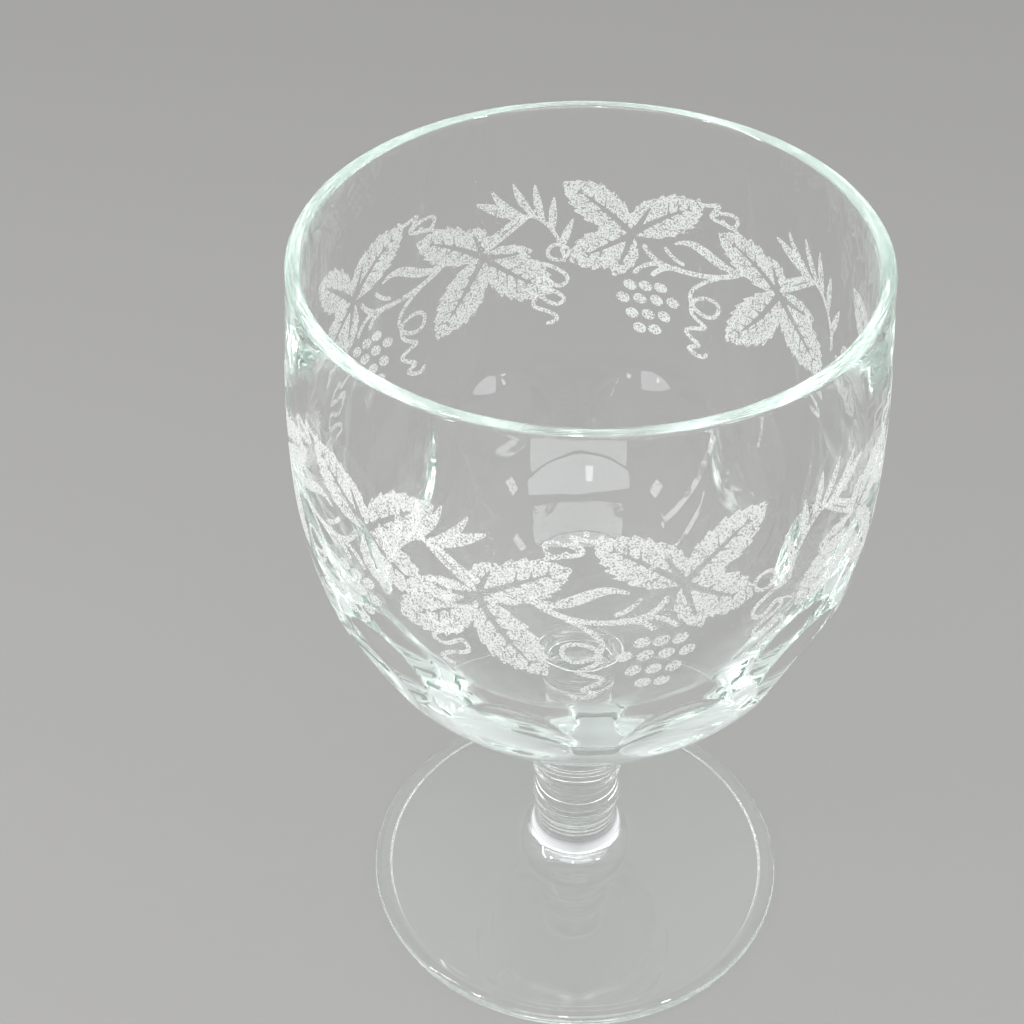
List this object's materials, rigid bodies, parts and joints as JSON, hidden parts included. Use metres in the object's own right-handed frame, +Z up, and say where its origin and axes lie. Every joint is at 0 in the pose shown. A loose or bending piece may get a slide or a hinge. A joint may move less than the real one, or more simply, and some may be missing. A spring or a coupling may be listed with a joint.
{
  "type": "wine glass",
  "caption": "Stemmed glass goblet: deep rounded bowl with a frosted grapevine garland and a belt of thumbprints, short ringed stem and round domed foot, for serving wine",
  "frame": {"origin": "Centre of the flat ring under the foot, on the surface that the glass stands on", "axes": "+Z up the stem to the lip; the front, -Y, faces a ridge between two thumbprints; +X to the right of it"},
  "size_m": [0.0964, 0.0964, 0.144],
  "materials": {
    "clear_glass": "fire-polished clear soda glass with a faint grey-green edge tint",
    "etched_glass": "stippled white sandblasted frosting on the outside of the bowl"
  },
  "bodies": {
    "root": {"bowl": "clear_glass", "stem": "clear_glass", "stem_ring": "clear_glass", "foot": "clear_glass"}
  },
  "joints": []
}
